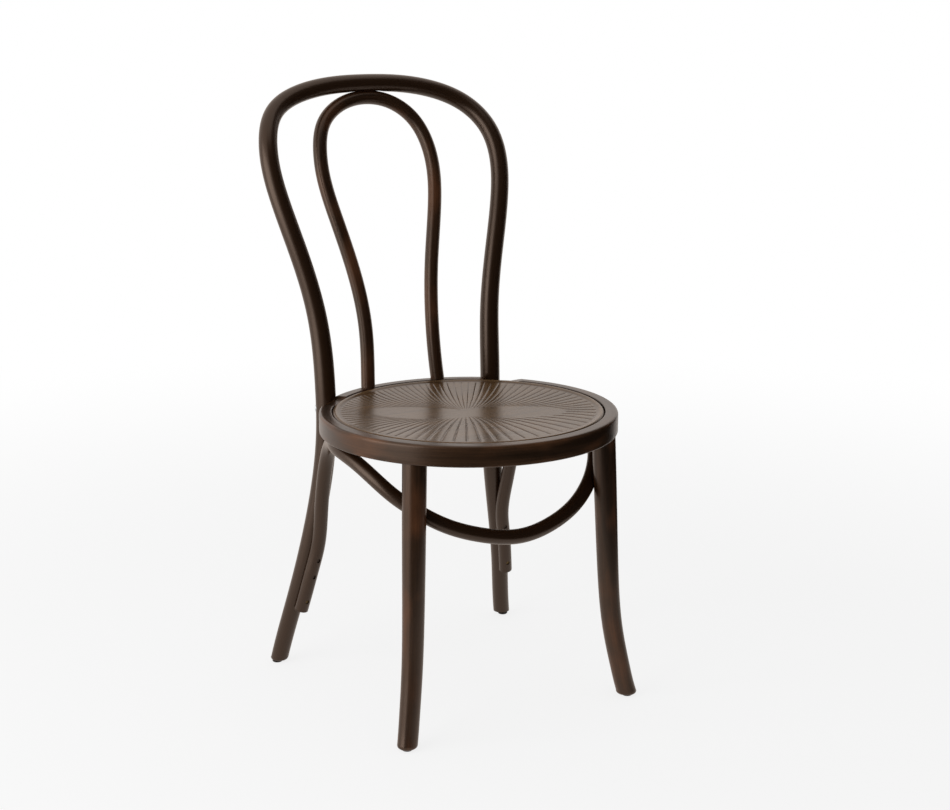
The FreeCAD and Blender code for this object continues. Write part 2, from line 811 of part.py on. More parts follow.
def panel_profile():
    """The panel's half section: a flat bed on the rebate, a raised bead and a dished middle."""
    edge = size("seat_radius") - size("rim_width") - size("panel_gap")
    top = size("seat_height")
    bed = top - size("panel_thickness") - size("panel_crown")
    bead = size("bead_width")
    foot = edge - 2 * bead
    shoulder = edge - bead
    low = top - size("bead_fall")
    centre = top - size("dish_depth")
    lip = edge - (size("ring_width") - size("rim_width"))
    under_centre = centre - size("panel_thickness")

    def at(radius, height):
        return Vector(radius, 0, height)

    def arc(start, middle, stop):
        return Part.Arc(start, middle, stop).toShape()

    def line(start, stop):
        return Part.LineSegment(start, stop).toShape()

    def dish(radius, bottom, rim):
        """An arc from the axis out to a radius, with its own centre on the axis."""
        ball = (radius ** 2 + (rim - bottom) ** 2) / (2 * (rim - bottom))
        half = radius / 2
        middle = at(half, bottom + ball - math.sqrt(ball ** 2 - half ** 2))
        return arc(at(0, bottom), middle, at(radius, rim))

    def flank(start, stop, shares, width, rise):
        """The middle of a rounded flank, out and down from the middle between its ends."""
        return at((start.x + stop.x) / 2 + width * shares[0], max(start.z, stop.z) - rise * shares[1])

    crest = at(shoulder + bead * BEAD_CREST, top)
    rim_top = at(edge, top - size("panel_edge_fall"))
    bead_foot = at(foot, low)
    return Part.Wire([
        line(at(0, under_centre), at(0, centre)),
        dish(foot, centre, low),
        arc(bead_foot, flank(bead_foot, crest, BEAD_INNER_FLANK, bead, size("bead_fall")), crest),
        arc(crest, flank(crest, rim_top, BEAD_OUTER_FLANK, bead, size("panel_edge_fall")), rim_top),
        line(rim_top, at(edge, bed)),
        line(at(edge, bed), at(lip, bed)),
        dish(lip, under_centre, bed),
    ])


panel_section = doc.addObject("Part::Feature", "panel_section")
panel_section.Shape = Part.Face(panel_profile())
seat_panel = doc.addObject("Part::Revolution", "seat_panel")
seat_panel.Source = panel_section
seat_panel.Axis = UP
seat_panel.Angle = 360
seat_panel.Solid = True

NODES = {
    "back_bow": back_bow,
    "inner_back_loop": inner_back_loop,
    "seat_ring": seat_ring,
    "seat_panel": seat_panel,
    "front_leg_left": front_leg_left,
    "front_leg_right": front_leg_right,
    "leg_brace": leg_brace,
    "glide_front_left": glides["front_left"],
    "glide_front_right": glides["front_right"],
    "glide_rear_left": glides["rear_left"],
    "glide_rear_right": glides["rear_right"],
    "glide_nails": glide_nails,
    "back_bow_bolts": back_bow_bolts,
    "back_bow_washers": back_bow_washers,
    "back_bow_nuts": back_bow_nuts,
    "loop_top_screws": loop_top_screws,
    "loop_foot_screws": loop_foot_screws,
    "front_leg_lock_screws": front_leg_lock_screws,
    "brace_rear_screws": brace_rear_screws,
    "brace_front_screws": brace_front_screws,
    "brace_seat_screws": brace_seat_screws,
}


def in_frame(node, thing):
    """The finished piece, moved from the seat's axis to the middle of the outline."""
    piece = group("piece_" + node, thing)
    piece.Placement.Base = Vector(0, -outline_middle, 0)
    piece.Label = node
    return piece


pieces = {node: in_frame(node, thing) for node, thing in NODES.items()}
doc.recompute()

faults = [thing.Name for thing in doc.Objects if {"Invalid", "Error"} & set(thing.State)]
faults += [node for node, piece in pieces.items() if piece.Shape.isNull() or not piece.Shape.isValid()]
if faults:
    raise RuntimeError("these objects failed: " + ", ".join(faults))

os.makedirs("parts", exist_ok=True)
for node, piece in pieces.items():
    piece.Shape.exportStep("parts/%s.step" % node)
    extent = piece.Shape.optimalBoundingBox(True)
    print("%-22s solids %d  volume %9.0f  x %.1f to %.1f  y %.1f to %.1f  z %.1f to %.1f" % (
        node, len(piece.Shape.Solids), piece.Shape.Volume, extent.XMin, extent.XMax, extent.YMin,
        extent.YMax, extent.ZMin, extent.ZMax))
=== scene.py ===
"""Looks of the bentwood bistro chair: smooth rods with a grain that follows their bends, a rounded seat
ring, an embossed panel, satin lacquer with painted shade in the seat's grooves and painted highlights on
its edges, metal fasteners and a pale studio."""
import math

import bpy
import numpy as np
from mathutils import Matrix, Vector


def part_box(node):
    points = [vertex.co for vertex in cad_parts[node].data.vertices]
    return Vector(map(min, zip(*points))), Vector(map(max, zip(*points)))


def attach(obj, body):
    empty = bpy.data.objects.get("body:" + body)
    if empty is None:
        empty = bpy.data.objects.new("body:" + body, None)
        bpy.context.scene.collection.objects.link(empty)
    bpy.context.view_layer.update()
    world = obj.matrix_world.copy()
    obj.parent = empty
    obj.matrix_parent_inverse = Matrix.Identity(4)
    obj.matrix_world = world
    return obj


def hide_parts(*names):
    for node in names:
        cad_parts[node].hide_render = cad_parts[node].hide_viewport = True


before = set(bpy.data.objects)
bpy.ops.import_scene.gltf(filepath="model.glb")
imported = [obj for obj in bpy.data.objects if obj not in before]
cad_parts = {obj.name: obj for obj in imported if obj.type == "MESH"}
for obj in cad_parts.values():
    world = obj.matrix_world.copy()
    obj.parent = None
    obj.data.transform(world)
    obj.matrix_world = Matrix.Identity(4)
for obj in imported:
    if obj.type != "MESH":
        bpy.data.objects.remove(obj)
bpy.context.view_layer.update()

MM = 0.001

# Sizes that come from the frame

ring_low, ring_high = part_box("seat_ring")
SEAT_TOP = ring_high.z
RING_BOTTOM = ring_low.z
SEAT_RADIUS = ring_high.x
SEAT_Y = ring_low.y + SEAT_RADIUS
FOOT_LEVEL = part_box("front_leg_left")[0].z
BACK_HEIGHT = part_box("back_bow")[1].z - SEAT_TOP

# Sizes of the seat ring, round the seat's axis as all the wood is

RIM_WIDTH = 19 * MM
RING_WIDTH = 36 * MM
RIM_ROUND = 4.5 * MM
RIM_LIP = 1.6 * MM
RIM_SHARES = (0.3, 0.55, 0.8)
WALL_SHARES = (0.25, 0.5, 0.75)
REBATE_STEP = 2.5 * MM
RING_ARRIS = 2 * MM
RING_FLAT = 2 * MM
RING_TURNS = 900
RELIEF_FRONT = 35 * MM
RELIEF_RAMP = 19 * MM
RELIEF_BACK = 4 * MM
RELIEF_BACK_RAMP = 4 * MM
RELIEF_DEPTH = 5 * MM
RELIEF_MARGIN = 1 * MM
RELIEF_OVERRUN = 1.2

# Sizes of the back bow and the rear legs

BOW_FOOT_RADIUS = 13.4 * MM
BOW_LEG_RADIUS = 13.6 * MM
BOW_JOINT_RADIUS = 15.6 * MM
BOW_WAIST_RADIUS = 14.4 * MM
BOW_TOP_RADIUS = 13.6 * MM
BOW_JOINT_ANGLE = math.radians(39.2)
BOW_HOUSING = 2.2 * MM
BOW_SIDES = 40
BACK_LEAN = 139 * MM
BACK_HALF_WIDTH = 199 * MM
REAR_FOOT = Vector((209.5, 243.5, 0)) * MM
REAR_SPLAY = (0.643, 0.22, 0.01)
REAR_RAKE = (0.562, 0.173, 0.01)
BOLT_RISE = 11.1 * MM
BOLT_SEAT_DEPTH = 4 * MM
BOLT_SEAT_RADIUS = 9.4 * MM

# Sizes of the inner loop and of the flat where it meets the bow

LOOP_RADIUS = 10.9 * MM
LOOP_FOOT_ANGLE = math.radians(17)
LOOP_FOOT_SLANT = Vector((1.5, -3, -20)) * MM
LOOP_HALF_WIDTH = 97.6 * MM
LOOP_FLAT = 1 * MM
LOOP_SIDES = 32
CONTACT_CORE = 18 * MM
CONTACT_REACH = 45 * MM
CONTACT_FALL = 2.8 * MM

# Sizes of the front legs

FRONT_TOP_RADIUS = 17.3 * MM
FRONT_FOOT_RADIUS = 14.6 * MM
FRONT_PLAN_RADIUS = 199.8 * MM
FRONT_ANGLE = math.radians(180 - 52.4)
FRONT_FOOT = Vector((191, -152, 0)) * MM
FRONT_SPLAY = (0.24, 0.45)
FRONT_START = 8 * MM
FRONT_SIDES = 44
FOOT_ROUND = 4 * MM
ROUNDING_TURNS = (20, 40, 65, 90)

# Sizes of the brace and its screws

BRACE_RADIUS = 10.8 * MM
BRACE_HOUSING = 1.8 * MM
BRACE_CROWN_HOUSING = 1 * MM
BRACE_END = 94 * MM
BRACE_LEAVES_LEG = 0.5
BRACE_TURN_IN = math.radians(7)
BRACE_TOP_RADIUS = 204 * MM
BRACE_TOP_ANGLE = math.radians(80)
BRACE_FRONT_RADIUS = 146 * MM
BRACE_FRONT_DROP = 127 * MM
BRACE_LEG_DROP = 79 * MM
BRACE_LEG_TURN = math.radians(38.5)
BRACE_SCREW_RISES = (20 * MM, 61 * MM, 88 * MM)
BRACE_ARRIS = 1.5 * MM
BRACE_ARRIS_TURNS = (0, 30, 60, 90)
BRACE_BEVEL = 5 * MM
BRACE_SIDES = 36
REAR_SWELLING = 0.35
FRONT_TAPER = 0.13
GLUE_LINE = 0.15 * MM
SCREW_HEAD_RADIUS = 3.3 * MM
SCREW_RECESS = 2.5 * MM
WELL_REACH = 6 * MM
WELL_MARGIN = 0.05 * MM
WELL_SIDES = 32

# Sizes of the seat panel, its bead and its dish

PANEL_GAP = 1 * MM
PANEL_THICKNESS = 5 * MM
PANEL_CROWN = 1.5 * MM
PANEL_EDGE_FALL = 3.2 * MM
PANEL_EDGE_POWER = 1.8
BEAD_WIDTH = 6 * MM
BEAD_CREST = 0.65
BEAD_FALL = 2 * MM
BEAD_POWER = 0.9
BEAD_SHARES = np.linspace(0.12, 1, 8)
DISH_DEPTH = 7 * MM
PANEL_BED = SEAT_TOP - PANEL_THICKNESS - PANEL_CROWN
PANEL_EDGE = SEAT_RADIUS - RIM_WIDTH - PANEL_GAP
BEAD_FOOT = PANEL_EDGE - 2 * BEAD_WIDTH

# The rays: their number, how they crowd and sway round the panel, and their grooves

RAYS = 79
RAY_CROWDING = 4.1
RAY_WIDE_SIDE = math.radians(-47)
RAY_TURN = math.radians(-3)
RAY_SWAY = math.radians(22)
RAY_SWAY_SIDE = math.radians(-52)
RAY_DEPTH = 0.65 * MM
RAY_STATIONS = np.array([0, 0.045, 0.09, 0.15, 0.24, 0.38, 0.55, 0.72, 0.83, 0.9, 0.955])
RAY_STEPS = 64
RAY_FULL_SPACING = 7 * MM
RAY_LATE = 0.16
RAY_LATE_SIDE = math.radians(48)
RAY_FADE = 0.14
RAY_END_FADE = 0.035
RAY_BEND = np.array([0.78, 1.3])
GROOVE_HALF_WIDTH = 0.075
PILLOW_HEIGHT = 0.28
PATTERN_TURN = math.radians(-30.8)

# The smooth figure of two lobes in the middle, from which the rays start

LOBE_LONG = 138 * MM
LOBE_HALF_WIDTH = 44 * MM
WAIST_HALF_WIDTH = 12 * MM
LOBE_DRAW = 1.7
LOBE_SHIFT = np.array([-4 * MM, 0])
LOBE_STEPS = 14

# Painted shade and highlight by place: 1 where the shade is painted darkest, below 0 where an edge is
# painted lighter

# Painted shade in the rays' grooves, at the bead's foot and at the panel's edge, and a painted highlight
# on the bead's crest
GROOVE_PAINTED_SHADE = 0.75
BEAD_FOOT_PAINTED_SHADE = 0.5
BEAD_FOOT_SHADE_WIDTH = 0.03
BEAD_CREST_PAINTED_HIGHLIGHT = -0.7
PANEL_EDGE_PAINTED_SHADE = 1.0
# A painted highlight along the rim's outer edge, a lighter line along the underside's outer edge, and
# painted shade in the lip
RIM_HIGHLIGHT_INSET = 1.5 * MM
LIGHT_EDGE_WIDTH = 3 * MM
UNDERSIDE_LIGHT_EDGE = 0.5
LIP_SHADE_WIDTH = 1.6 * MM
LIP_SHADE_TOP = 0.3 * MM

# The wood's patterns: scales per metre along the grain and across it, and shifts from one another

FIBRE_SCALE = (9, 420, 420)
BROAD_SCALE, BROAD_SHIFT = (5, 70, 70), (3, 1, 2)
CLOUD_SCALE, CLOUD_SHIFT = (11, 26, 26), (7, 4, 9)
PORE_SCALE = (120, 2100, 2100)
METAL_SCALE = (900, 900, 900)
PLASTIC_SCALE = (700, 700, 700)

# The camera, as solved from the photograph

CAMERA = Vector((-1.225, -2.076 + SEAT_Y, 1.023))
CAMERA_PITCH = math.radians(90 - 13.48)
CAMERA_YAW = math.radians(-30.77)
PHOTO_WIDTH = 950
FOCAL_PIXELS = 1675
SENSOR = 36

# The studio

FLOOR_HALF = 12
FLOOR_GREY = 0.86
GLOW_NEAR, GLOW_FAR = 0.6, 2.6
GLOW_AT_CHAIR = 0.82
WORLD_LIGHT = 0.5
SOFTBOX_PLACE = Vector((-2.4, -0.15, 1.0))
SOFTBOX_TARGET = Vector((0, 0, 0.55))
SOFTBOX_SIZE = (2.2, 1.9)
SOFTBOX_POWER = 34
SCREEN_RADIUS = 0.85
SCREEN_HEIGHT = 2.2
SCREEN_TURNS = (math.radians(-30), math.radians(130))
SCREEN_STEPS = 40

STEP = 4 * MM
FINE_STEPS = 8
SHARP = math.radians(38)


# Curves

def slopes_through(t, points):
    """The slopes of the smoothest cubic curve through the points."""
    span = np.diff(t)[:, None]
    secant = np.diff(points, axis=0) / span
    count = len(points)
    matrix = np.zeros((count, count))
    right = np.zeros_like(points)
    matrix[0, 0] = matrix[-1, -1] = 1
    right[0] = secant[0] + (secant[0] - secant[1]) * span[0] / (span[0] + span[1])
    right[-1] = secant[-1] + (secant[-1] - secant[-2]) * span[-1] / (span[-1] + span[-2])
    for i in range(1, count - 1):
        before, after = 1 / span[i - 1, 0], 1 / span[i, 0]
        matrix[i, i - 1:i + 2] = before, 2 * (before + after), after
        right[i] = 3 * (secant[i - 1] * before + secant[i] * after)
    return np.linalg.solve(matrix, right)


def route_through(points):
    """Evenly spaced points on a smooth curve through the given ones."""
    points = np.array([list(p) for p in points], float)
    t = lengths_along(points)
    slope = slopes_through(t, points)
    fine = np.linspace(0, t[-1], int(t[-1] / STEP) * FINE_STEPS)
    i = np.clip(np.searchsorted(t, fine, side="right") - 1, 0, len(t) - 2)
    span = (t[i + 1] - t[i])[:, None]
    u = (fine - t[i])[:, None] / span
    curve = ((1 + 2 * u) * (1 - u) ** 2 * points[i] + u * (1 - u) ** 2 * span * slope[i]
             + u * u * (3 - 2 * u) * points[i + 1] + u * u * (u - 1) * span * slope[i + 1])
    along = lengths_along(curve)
    stations = np.linspace(0, along[-1], int(round(along[-1] / STEP)) + 1)
    return np.stack([np.interp(stations, along, curve[:, k]) for k in range(3)], axis=1)


def lengths_along(curve):
    return np.concatenate([[0], np.cumsum(np.linalg.norm(np.diff(curve, axis=0), axis=1))])


def directions_along(curve):
    ahead = np.gradient(curve, axis=0)
    return ahead / np.linalg.norm(ahead, axis=1)[:, None]


def eased(u):
    u = np.clip(u, 0, 1)
    return u * u * (3 - 2 * u)


def radius_along(route, stations):
    """A radius that eases from each station to the next, by share of the rod's length."""
    share = lengths_along(route) / lengths_along(route)[-1]
    result = np.full(len(share), stations[-1][1])
    for (start, first), (end, second) in zip(stations, stations[1:]):
        inside = (share >= start) & (share <= end)
        result[inside] = first + (second - first) * eased((share[inside] - start) / (end - start))
    return result


def quarter(steps):
    """The turns of a quarter circle in equal steps."""
    return [math.radians(90 * k / steps) for k in range(steps + 1)]


# Places

def around(radius, angle, height):
    """A point by its distance from the seat's axis and its angle from the back, at +X."""
    return Vector((radius * math.sin(angle), radius * math.cos(angle), height))


def flipped(point):
    return Vector((-point.x, point.y, point.z))


def flip_x(points):
    return points * [-1, 1, 1]


def both_sides(right, middle):
    return right + [middle] + [flipped(p) for p in reversed(right)]


def splayed(top, foot, out, along, height):
    """A point of a leg's axis, given shares of the way from its top to its foot: out in X, along in Y."""
    return Vector((top.x + (foot.x - top.x) * out, top.y + (foot.y - top.y) * along, height))


def at_height(route, height):
    """Where a leg's axis passes a height, on its way up from the floor at +X."""
    half = route[:len(route) // 2 + 1] if route[0, 2] < 0 else route[::-1]
    climbing = half[:int(np.argmax(half[:, 2])) + 1]
    return Vector([float(np.interp(height, climbing[:, 2], climbing[:, k])) for k in range(3)])


def nearest_on(route, point):
    return Vector(route[np.linalg.norm(route - np.array(point), axis=1).argmin()])


# Routes of the bent pieces

flat_radius = SEAT_RADIUS - RING_FLAT
joint_radius = flat_radius + BOW_JOINT_RADIUS - BOW_HOUSING
joint = around(joint_radius, BOW_JOINT_ANGLE, 0)
joint_out = np.array(around(1, BOW_JOINT_ANGLE, 0))
top_flat = SEAT_TOP + BACK_HEIGHT - 2 * BOW_TOP_RADIUS + LOOP_FLAT
bow_axis_top = SEAT_TOP + BACK_HEIGHT - BOW_TOP_RADIUS
loop_axis_top = top_flat + LOOP_FLAT - LOOP_RADIUS


def bow_route():
    tall = bow_axis_top - SEAT_TOP
    wide = BACK_HALF_WIDTH - joint.x

    def back(height, out, rear):
        return Vector((joint.x + wide * out, joint.y + BACK_LEAN * rear, SEAT_TOP + tall * height))

    def corner(height, across, rear):
        return Vector((BACK_HALF_WIDTH * across, joint.y + BACK_LEAN * rear, SEAT_TOP + tall * height))

    right = [
        splayed(joint, REAR_FOOT, 1.08, 1.05, -0.06 * SEAT_TOP),
        splayed(joint, REAR_FOOT, 1.0, 1.0, 0),
        splayed(joint, REAR_FOOT, REAR_SPLAY[0], REAR_RAKE[0], 0.273 * SEAT_TOP),
        splayed(joint, REAR_FOOT, REAR_SPLAY[1], REAR_RAKE[1], 0.59 * SEAT_TOP),
        splayed(joint, REAR_FOOT, REAR_SPLAY[2], REAR_RAKE[2], 0.86 * SEAT_TOP),
        back(0.02, 0.0, 0.007),
        back(0.26, 0.11, 0.085),
        back(0.44, 0.43, 0.182),
        back(0.61, 0.82, 0.312),
        back(0.745, 1.0, 0.457),
        back(0.835, 0.9, 0.597),
        corner(0.92, 0.843, 0.806),
        corner(0.98, 0.52, 0.955),
    ]
    return route_through(both_sides(right, Vector((0, joint.y + BACK_LEAN, bow_axis_top))))


def loop_route():
    tall = loop_axis_top - SEAT_TOP
    foot = around(SEAT_RADIUS - RIM_WIDTH + LOOP_RADIUS, LOOP_FOOT_ANGLE, SEAT_TOP)
    lean = joint.y + BACK_LEAN - foot.y

    def side(height, across, rear):
        return Vector((LOOP_HALF_WIDTH * across, foot.y + lean * rear, SEAT_TOP + tall * height))

    right = [
        foot + LOOP_FOOT_SLANT,
        foot,
        side(0.22, 0.61, 0.105),
        side(0.415, 0.715, 0.265),
        side(0.6, 0.9, 0.453),
        side(0.735, 0.998, 0.62),
        side(0.83, 0.972, 0.754),
        side(0.92, 0.805, 0.9),
        side(0.978, 0.47, 0.975),
    ]
    return route_through(both_sides(right, Vector((0, foot.y + lean, loop_axis_top))))


def front_route():
    top = around(FRONT_PLAN_RADIUS, FRONT_ANGLE, RING_BOTTOM)

    def out(share, height):
        return splayed(top, FRONT_FOOT, share, share, height * RING_BOTTOM)

    return route_through([
        Vector((top.x, top.y, RING_BOTTOM + FRONT_START)),
        out(0.04, 0.93),
        out(0.14, 0.7),
        out(FRONT_SPLAY[0], 0.48),
        out(FRONT_SPLAY[1], 0.25),
        out(0.72, 0.11),
        out(1.0, 0),
        out(1.2, -0.05),
    ])


bow = bow_route()
loop = loop_route()
front = front_route()


def brace_on_rear_leg(height):
    leg_radius = (1 - REAR_SWELLING) * BOW_LEG_RADIUS + REAR_SWELLING * BOW_JOINT_RADIUS
    reach = leg_radius + BRACE_RADIUS - BRACE_HOUSING
    return at_height(bow, height) - Vector((math.sin(BRACE_TURN_IN), math.cos(BRACE_TURN_IN), 0)) * reach


def brace_on_front_leg():
    leg_radius = (1 - FRONT_TAPER) * FRONT_TOP_RADIUS + FRONT_TAPER * FRONT_FOOT_RADIUS
    reach = leg_radius + BRACE_RADIUS - BRACE_HOUSING
    inward = Vector((-math.sin(BRACE_LEG_TURN), math.cos(BRACE_LEG_TURN), 0))
    return at_height(front, RING_BOTTOM - BRACE_LEG_DROP) + inward * reach


def brace_crown():
    return around(BRACE_TOP_RADIUS, BRACE_TOP_ANGLE, RING_BOTTOM - BRACE_RADIUS + BRACE_CROWN_HOUSING)


def brace_route():
    crown = brace_crown()
    passing = brace_on_front_leg()
    high = brace_on_rear_leg(BRACE_LEAVES_LEG * RING_BOTTOM)
    middle = Vector((0, -BRACE_FRONT_RADIUS, RING_BOTTOM - BRACE_FRONT_DROP))

    def between(start, stop, across, along, up):
        span = stop - start
        return start + Vector((span.x * across, span.y * along, span.z * up))

    return route_through(both_sides([
        brace_on_rear_leg(BRACE_END),
        brace_on_rear_leg(BRACE_END + 0.3 * (high.z - BRACE_END)),
        brace_on_rear_leg(BRACE_END + 0.65 * (high.z - BRACE_END)),
        high,
        between(high, crown, 0.0, 0.1, 0.3),
        between(high, crown, 0.06, 0.22, 0.6),
        between(high, crown, 0.2, 0.43, 0.87),
        between(high, crown, 0.62, 0.74, 0.985),
        crown,
        between(crown, passing, 0.06, 0.42, 0.16),
        between(crown, passing, 0.3, 0.7, 0.46),
        between(crown, passing, 0.6, 0.86, 0.74),
        passing,
        between(passing, middle, 0.24, 0.47, 0.44),
        between(passing, middle, 0.59, 0.86, 0.81),
    ], middle))


brace = brace_route()
bow_radius = radius_along(bow, [
    (0.0, BOW_FOOT_RADIUS), (0.04, BOW_LEG_RADIUS), (0.17, BOW_JOINT_RADIUS), (0.22, BOW_JOINT_RADIUS),
    (0.3, BOW_WAIST_RADIUS), (0.5, BOW_TOP_RADIUS), (0.7, BOW_WAIST_RADIUS),
    (0.78, BOW_JOINT_RADIUS), (0.83, BOW_JOINT_RADIUS), (0.96, BOW_LEG_RADIUS), (1.0, BOW_FOOT_RADIUS)])
front_radius = radius_along(front, [(0.0, FRONT_TOP_RADIUS), (1.0, FRONT_FOOT_RADIUS)])


# Meshes

def piece(name, points, faces, grain, start, replaces, stain_and_shade=None):
    """A mesh piece round the seat's axis, with the wood's own straight coordinates at each point.

    They begin at start, so that no two rods share a pattern. The painted shade is 1 where it is darkest,
    as in a groove, and below 0 where an edge is painted lighter, as with a painted highlight."""
    mesh = bpy.data.meshes.new(name)
    moved = points.reshape(-1, 3) + [0, SEAT_Y, 0]
    mesh.from_pydata(moved.tolist(), [], faces)
    straight = grain.reshape(-1, 3) + [start, 0, 0]
    layer = mesh.attributes.new("grain", "FLOAT_VECTOR", "POINT")
    layer.data.foreach_set("vector", straight.astype(np.float32).ravel())
    # The painted shade and highlight go with the mesh as a point attribute, for its material
    if stain_and_shade is not None:
        layer = mesh.attributes.new("stain_and_shade", "FLOAT", "POINT")
        layer.data.foreach_set("value", stain_and_shade.astype(np.float32).ravel())
    mesh.shade_smooth()
    mesh.set_sharp_from_angle(angle=SHARP)
    thing = bpy.data.objects.new(name, mesh)
    bpy.context.scene.collection.objects.link(thing)
    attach(thing, "root")
    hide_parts(replaces)
    return thing


def grid_faces(rings, sides, closed=False):
    """Quads between closed rings of points, and from the last ring to the first where it is closed."""
    faces = []
    for i in range(rings if closed else rings - 1):
        n = (i + 1) % rings
        for j in range(sides):
            k = (j + 1) % sides
            faces.append((i * sides + j, i * sides + k, n * sides + k, n * sides + j))
    return faces


def tube_faces(rings, sides):
    """Quads between the rings, and a flat end at each end."""
    first = tuple(range(sides))[::-1]
    last = tuple(range((rings - 1) * sides, rings * sides))
    return grid_faces(rings, sides) + [first, last]


def tube(route, radius, sides):
    """Rings of points round a route, with their straight coordinates: along, and two across."""
    ahead = directions_along(route)
    side = np.zeros_like(route)
    across = np.array([0.0, 1.0, 0.0])
    for i, direction in enumerate(ahead):
        across = across - direction * (across @ direction)
        across /= np.linalg.norm(across)
        side[i] = across
    other = np.cross(ahead, side)
    turn = np.linspace(0, 2 * math.pi, sides, endpoint=False)
    flat = radius[:, None, None] * np.stack([np.cos(turn), np.sin(turn)], axis=1)[None]
    points = route[:, None] + flat[..., :1] * side[:, None] + flat[..., 1:] * other[:, None]
    along = np.broadcast_to(lengths_along(route)[:, None, None], (len(route), sides, 1))
    return points, np.concatenate([along, flat], axis=2), ahead


def trimmed(points, grain, ahead, level, rounding):
    """The rings of the first end brought to a level, with a rounded edge where rounding is over 0."""
    above = points[..., 2] > level + rounding
    first = max(int(np.argmax(above.any(axis=1))) - 1, 0)
    points, grain, ahead = points[first:].copy(), grain[first:].copy(), ahead[first:]
    low = points[..., 2] < level + rounding
    slide = np.where(low, (level + rounding - points[..., 2]) / ahead[:, None, 2], 0)
    points += slide[..., None] * ahead[:, None]
    grain[..., 0] += slide
    if rounding > 0:
        centre = points[0].mean(axis=0)
        reach = points[0] - centre
        size = np.linalg.norm(reach, axis=1)[:, None]
        for turn in np.radians(ROUNDING_TURNS):
            draw, drop = rounding * (1 - math.cos(turn)), rounding * math.sin(turn)
            ring = centre + reach * (1 - draw / size) - [0, 0, drop]
            points = np.concatenate([ring[None], points])
            grain = np.concatenate([grain[:1] - [drop, 0, 0], grain])
            ahead = np.concatenate([ahead[:1], ahead])
    return points, grain, ahead


def trimmed_both(points, grain, ahead, level, rounding):
    """Both ends trimmed. The rings come out in the opposite order."""
    points, grain, ahead = trimmed(points, grain, ahead, level, rounding)
    points, grain, ahead = points[::-1], grain[::-1], ahead[::-1]
    points, grain, ahead = trimmed(points, grain, ahead, level, rounding)
    return points, grain


def pressed(points, outward, distance, low, high):
    """Points a little short of a distance along outward are moved out to it, between two heights."""
    reach = points @ outward
    push = (reach < distance) & (reach > distance - RING_WIDTH)
    push &= (points[..., 2] > low) & (points[..., 2] < high)
    points[push] += (distance - reach[push])[:, None] * outward


def housed(points, route, radius, gap):
    """Points inside another rod are moved out to its surface."""
    low, high = route.min(axis=0) - radius.max(), route.max(axis=0) + radius.max()
    near = ((points > low) & (points < high)).all(axis=-1)
    chosen = points[near]
    apart = np.linalg.norm(chosen[:, None] - route[None], axis=2)
    k = apart.argmin(axis=1)
    ahead = directions_along(route)[k]
    off = chosen - route[k]
    off -= ahead * (off * ahead).sum(axis=1)[:, None]
    size = np.linalg.norm(off, axis=1)
    push = size < radius[k] + gap
    chosen[push] += (off / size[:, None] * (radius[k] + gap - size)[:, None])[push]
    points[near] = chosen


def with_mirror(wells):
    return wells + [(flipped(mouth), flipped(inward), radius, depth)
                    for mouth, inward, radius, depth in wells]


def drilled(thing, wells):
    """Round holes sunk into a piece: each has its mouth, direction, radius and depth."""
    points, faces = [], []
    for mouth, inward, radius, depth in wells:
        side = inward.orthogonal().normalized()
        other = inward.cross(side)
        first = len(points)
        for reach in (-WELL_REACH, depth + WELL_MARGIN):
            for k in range(WELL_SIDES):
                turn = 2 * math.pi * k / WELL_SIDES
                rim = (side * math.cos(turn) + other * math.sin(turn)) * radius
                points.append(mouth + inward * reach + rim + Vector((0, SEAT_Y, 0)))
        faces += [tuple(first + corner for corner in face) for face in tube_faces(2, WELL_SIDES)]
    mesh = bpy.data.meshes.new("wells")
    mesh.from_pydata([tuple(p) for p in points], [], faces)
    cutter = bpy.data.objects.new("wells", mesh)
    bpy.context.scene.collection.objects.link(cutter)
    boolean = thing.modifiers.new("wells", "BOOLEAN")
    boolean.operation = "DIFFERENCE"
    boolean.solver = "EXACT"
    boolean.object = cutter
    depsgraph = bpy.context.evaluated_depsgraph_get()
    result = bpy.data.meshes.new_from_object(thing.evaluated_get(depsgraph))
    thing.modifiers.clear()
    thing.data = result
    bpy.data.objects.remove(cutter)
    thing.data.set_sharp_from_angle(angle=SHARP)


# The bow with both rear legs

def bolt_seats():
    """The recess that sinks each joint bolt's head into the outside of the leg."""
    mouth = around(joint_radius + BOW_JOINT_RADIUS, BOW_JOINT_ANGLE, RING_BOTTOM + BOLT_RISE)
    inward = -around(1, BOW_JOINT_ANGLE, 0)
    return with_mirror([(mouth, inward, BOLT_SEAT_RADIUS, BOLT_SEAT_DEPTH)])


def make_bow():
    points, grain = trimmed_both(*tube(bow, bow_radius, BOW_SIDES), FOOT_LEVEL, FOOT_ROUND)
    for outward in (joint_out, flip_x(joint_out)):
        pressed(points, outward, flat_radius, RING_BOTTOM, SEAT_TOP)
    sideways = np.abs(points[..., 0])
    level = top_flat - CONTACT_FALL * eased((sideways - CONTACT_CORE) / (CONTACT_REACH - CONTACT_CORE))
    under = (sideways < CONTACT_REACH) & (points[..., 2] > top_flat - BOW_TOP_RADIUS)
    points[..., 2] = np.where(under, np.maximum(points[..., 2], level), points[..., 2])
    thing = piece("bow", points, tube_faces(*points.shape[:2]), grain, 0, "back_bow")
    drilled(thing, bolt_seats())
    return thing


# The inner loop

def make_loop():
    points, grain = trimmed_both(*tube(loop, np.full(len(loop), LOOP_RADIUS), LOOP_SIDES), SEAT_TOP, 0)
    points[..., 2] = np.minimum(points[..., 2], top_flat)
    return piece("loop", points, tube_faces(*points.shape[:2]), grain, 3, "inner_back_loop")


# The front legs

